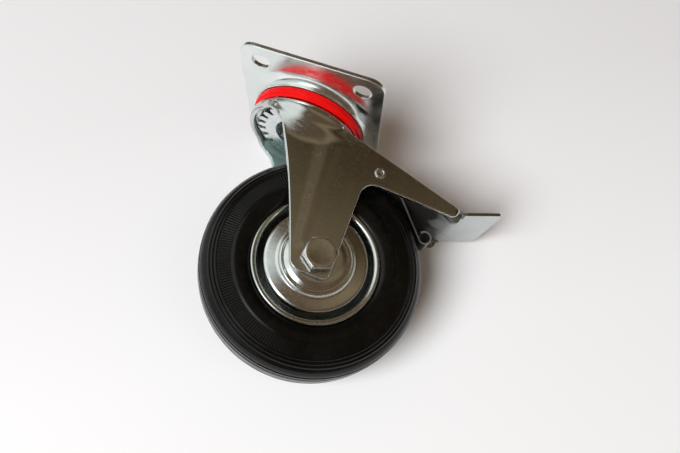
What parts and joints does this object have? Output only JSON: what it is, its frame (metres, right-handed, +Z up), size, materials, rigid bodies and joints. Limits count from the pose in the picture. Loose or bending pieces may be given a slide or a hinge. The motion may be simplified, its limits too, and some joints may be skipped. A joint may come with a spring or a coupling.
{
  "type": "braked swivel castor",
  "caption": "Plate-mounted swivel castor with a pressed steel fork, solid rubber tyre on a pressed rim, red dust seal and a foot brake that locks wheel and swivel.",
  "frame": {"origin": "centre of the mounting plate's top face, on the swivel axis", "axes": "+Z up out of the plate along the swivel axis, X along the plate's short side, Y along its long side"},
  "size_m": [0.1677, 0.105, 0.157],
  "materials": {
    "zinc_sheet": "bright zinc plated sheet",
    "bright_steel": "bright steel",
    "black_rubber": "semi-gloss moulded rubber",
    "red_plastic": "gloss",
    "cage_plastic": "matt"
  },
  "bodies": {
    "plate": {"top_plate": "zinc_sheet", "king_pin": "bright_steel", "lock_disc": "zinc_sheet", "upper_balls": "bright_steel", "lower_balls": "bright_steel", "dust_seal": "red_plastic"},
    "fork": {"fork": "zinc_sheet", "pivot_rivets": "bright_steel", "axle_bolt": "bright_steel", "axle_nut": "bright_steel", "axle_sleeve": "bright_steel", "guard_near": "zinc_sheet", "guard_far": "zinc_sheet"},
    "wheel": {"tyre": "black_rubber", "wheel_disc_near": "zinc_sheet", "wheel_disc_far": "zinc_sheet", "hub_tube": "bright_steel", "roller_cage": "cage_plastic", "rollers": "bright_steel"},
    "pedal": {"brake_pedal": "zinc_sheet", "brake_shoe": "bright_steel", "shoe_rivets": "bright_steel"}
  },
  "joints": [
    {"name": "swivel", "type": "hinge", "parent": "plate", "child": "fork", "pos_m": [0, 0, 0], "axis": [0, 0, 1], "continuous": true},
    {"name": "wheel_spin", "type": "hinge", "parent": "fork", "child": "wheel", "pos_m": [0.03239, 0.0063, -0.0945], "axis": [-0.1908, 0.9816, 0], "continuous": true},
    {"name": "pedal_press", "type": "hinge", "parent": "fork", "child": "pedal", "pos_m": [0.04761, 0.00925, -0.0355], "axis": [-0.1908, 0.9816, 0], "range_deg": [0, 3.8]}
  ]
}
